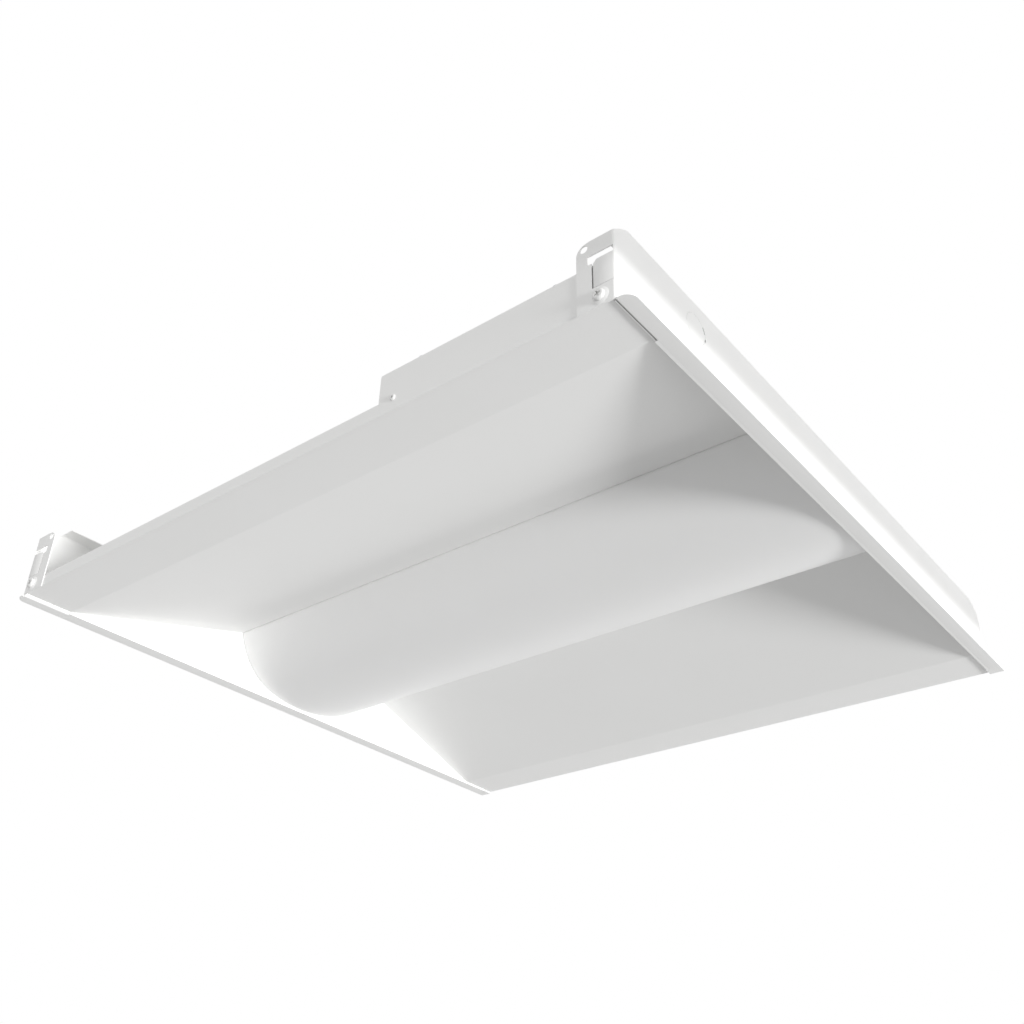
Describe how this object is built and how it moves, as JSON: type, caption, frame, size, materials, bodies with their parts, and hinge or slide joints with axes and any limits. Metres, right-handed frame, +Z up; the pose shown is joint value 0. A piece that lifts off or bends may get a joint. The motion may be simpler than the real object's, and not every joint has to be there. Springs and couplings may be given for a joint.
{
  "type": "recessed troffer light",
  "caption": "Square recessed ceiling light with a frosted basket lens between two sloping white reflectors, end plates with bend-out grid clips, and a wiring box.",
  "frame": {"origin": "middle of the square ceiling opening, level with the underside of the end flanges", "axes": "+Z up into the space above the ceiling, +Y along the lens, the wiring box over the -X edge at its -Y end"},
  "size_m": [0.606, 0.6032, 0.0667],
  "materials": {
    "white_steel": "satin powder-coated sheet steel",
    "reflector_white": "matt high-reflectance paint on sheet steel",
    "frosted_lens": "frosted acrylic, fine satin, slightly translucent",
    "zinc_steel": "bright zinc plate",
    "white_screw": "white-finished steel",
    "spring_steel": "bare spring steel",
    "board_white": "white solder mask",
    "emitter_phosphor": "yellow phosphor in a white package",
    "connector_white": "moulded nylon",
    "driver_white": "white-painted steel case",
    "circuit_green": "green solder mask",
    "winding_tape": "yellow winding tape",
    "can_sleeve": "dark shrink sleeve",
    "terminal_grey": "grey moulded terminal blocks",
    "disconnect_orange": "orange moulded nylon",
    "disconnect_clear": "natural moulded nylon",
    "lead_insulation": "PVC insulation",
    "bushing_black": "black nylon",
    "earth_green": "green-dyed zinc plate"
  },
  "bodies": {
    "housing": {"end_plate_near": "white_steel", "end_plate_far": "white_steel", "end_reflector_near": "reflector_white", "end_reflector_far": "reflector_white", "side_reflector_left": "reflector_white", "side_reflector_right": "reflector_white", "light_channel": "white_steel", "lens_springs": "spring_steel", "light_board_left": "board_white", "light_board_right": "board_white", "emitters_left": "emitter_phosphor", "emitters_right": "emitter_phosphor", "board_connectors": "connector_white", "board_leads": "lead_insulation", "board_jumpers": "lead_insulation", "supply_leads": "lead_insulation", "wiring_header": "white_steel", "wiring_end": "white_steel", "driver_tray": "zinc_steel", "driver_case": "driver_white", "driver_lid": "driver_white", "driver_circuit": "circuit_green", "driver_transformer": "winding_tape", "driver_capacitors": "can_sleeve", "driver_terminals": "terminal_grey", "disconnect_socket": "disconnect_clear", "corner_screws": "white_screw", "lap_screws": "zinc_steel", "leg_screws": "zinc_steel", "board_screws": "zinc_steel", "driver_screws": "zinc_steel", "wiring_end_screw": "zinc_steel", "earth_screw": "earth_green"},
    "clip_near_left": {"grid_clip_near_left": "white_steel"},
    "clip_near_right": {"grid_clip_near_right": "white_steel"},
    "clip_far_left": {"grid_clip_far_left": "white_steel"},
    "clip_far_right": {"grid_clip_far_right": "white_steel"},
    "lens": {"centre_lens": "frosted_lens"},
    "lid": {"wiring_lid": "white_steel", "lid_screws": "zinc_steel", "supply_bushing": "bushing_black"},
    "plug": {"disconnect_plug": "disconnect_orange"}
  },
  "joints": [
    {"name": "clip_near_left_bend", "type": "hinge", "parent": "housing", "child": "clip_near_left", "pos_m": [-0.30128, -0.28377, 0.0166], "axis": [0, -1, 0], "range_deg": [0, 90]},
    {"name": "clip_near_right_bend", "type": "hinge", "parent": "housing", "child": "clip_near_right", "pos_m": [0.29207, -0.28377, 0.0166], "axis": [0, 1, 0], "range_deg": [0, 90]},
    {"name": "clip_far_left_bend", "type": "hinge", "parent": "housing", "child": "clip_far_left", "pos_m": [-0.30128, 0.28377, 0.0166], "axis": [0, -1, 0], "range_deg": [0, 90]},
    {"name": "clip_far_right_bend", "type": "hinge", "parent": "housing", "child": "clip_far_right", "pos_m": [0.29207, 0.28377, 0.0166], "axis": [0, 1, 0], "range_deg": [0, 90]},
    {"name": "lens_drop", "type": "slide", "parent": "housing", "child": "lens", "axis": [0, 0, -1], "range_m": [0, 0.07]},
    {"name": "lid_lift", "type": "slide", "parent": "housing", "child": "lid", "axis": [0, 0, 1], "range_m": [0, 0.06]},
    {"name": "plug_pull", "type": "slide", "parent": "housing", "child": "plug", "axis": [0, 1, 0], "range_m": [0, 0.012]}
  ]
}
